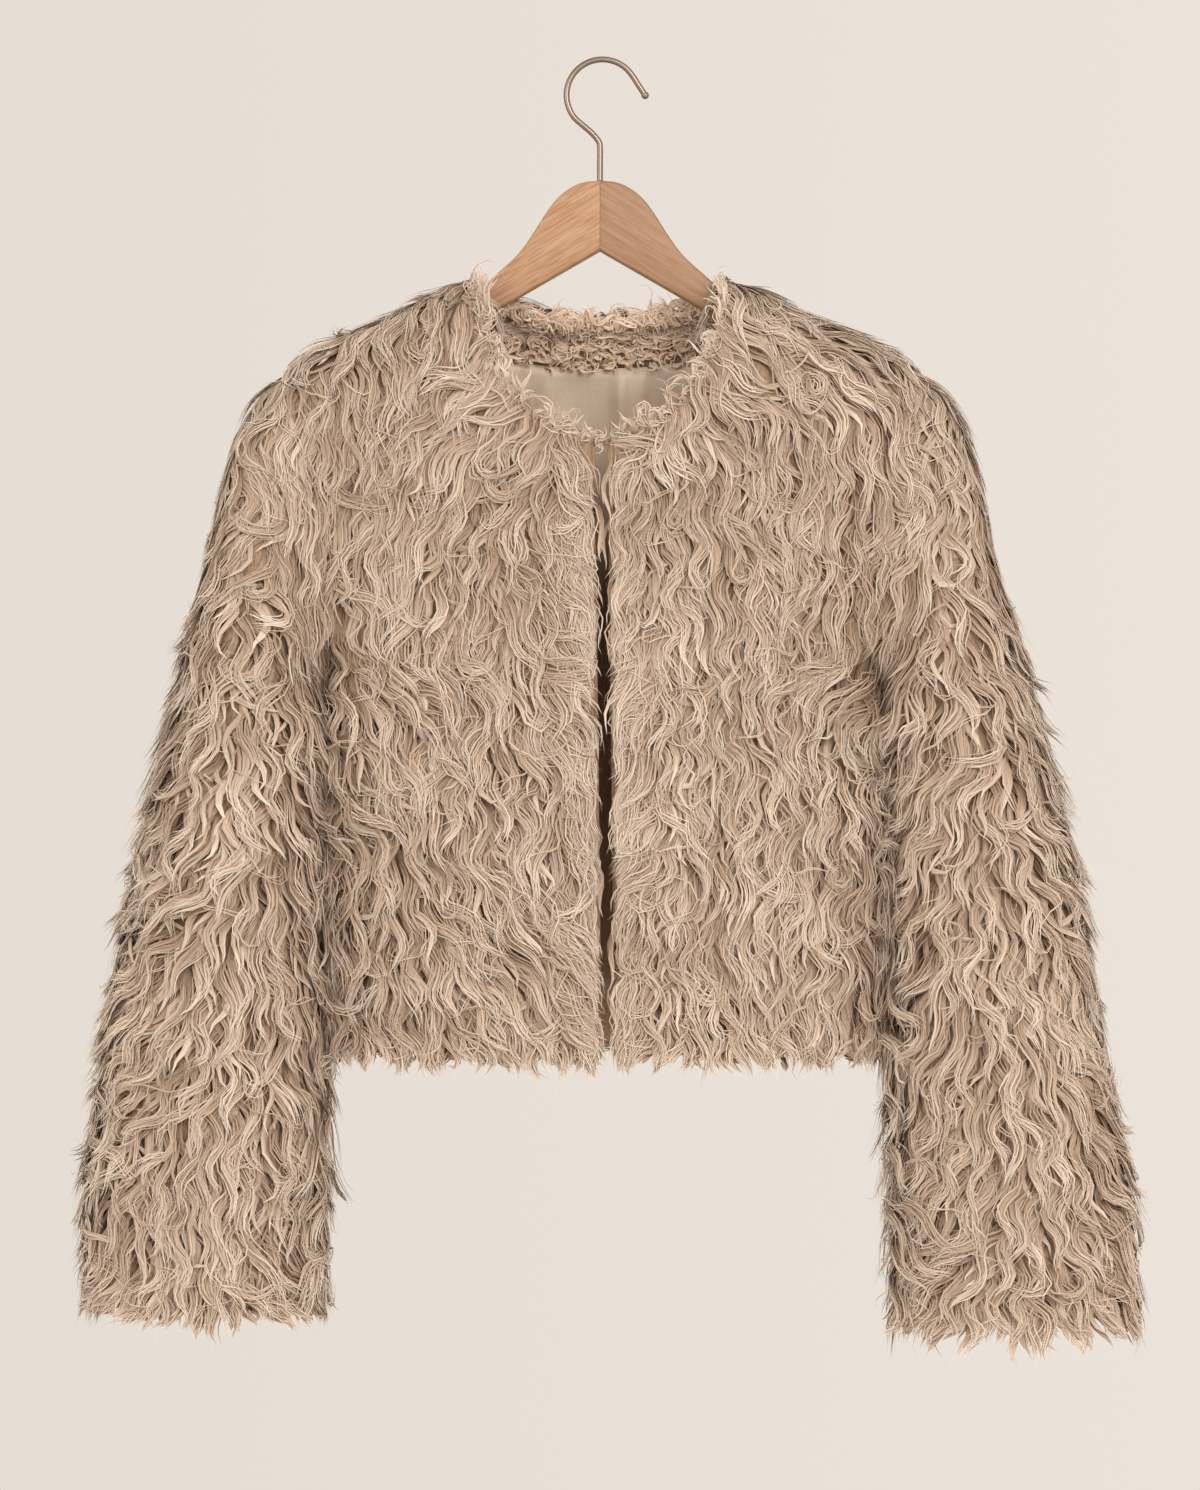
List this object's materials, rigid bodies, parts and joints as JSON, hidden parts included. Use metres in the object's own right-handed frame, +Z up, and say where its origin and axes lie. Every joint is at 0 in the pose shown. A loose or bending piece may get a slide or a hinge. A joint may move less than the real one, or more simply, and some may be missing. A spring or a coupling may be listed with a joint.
{
  "type": "faux fur coat on a wooden hanger",
  "caption": "Cropped collarless coat of long wavy faux fur with set-in sleeves and an open front, hung on a wooden hanger with a wire hook.",
  "frame": {"origin": "the point inside the top of the hook, where a rail carries the hanger", "axes": "+Z up, the front of the coat faces -Y, and +X is to the right seen from the front"},
  "size_m": [0.6776, 0.2046, 0.8122],
  "materials": {
    "fur": "long wavy beige pile",
    "facing_fur": "shorter beige pile",
    "lining": "smooth beige satin",
    "hanger_wood": "clear matt lacquer",
    "hook_metal": "satin champagne"
  },
  "bodies": {
    "root": {"back": "fur", "front_left": "fur", "front_right": "fur", "sleeve_left": "fur", "sleeve_right": "fur", "back_neck_facing": "facing_fur", "back_lining": "lining", "hanger_arm_left": "hanger_wood", "hanger_arm_right": "hanger_wood", "hook": "hook_metal"}
  },
  "joints": []
}
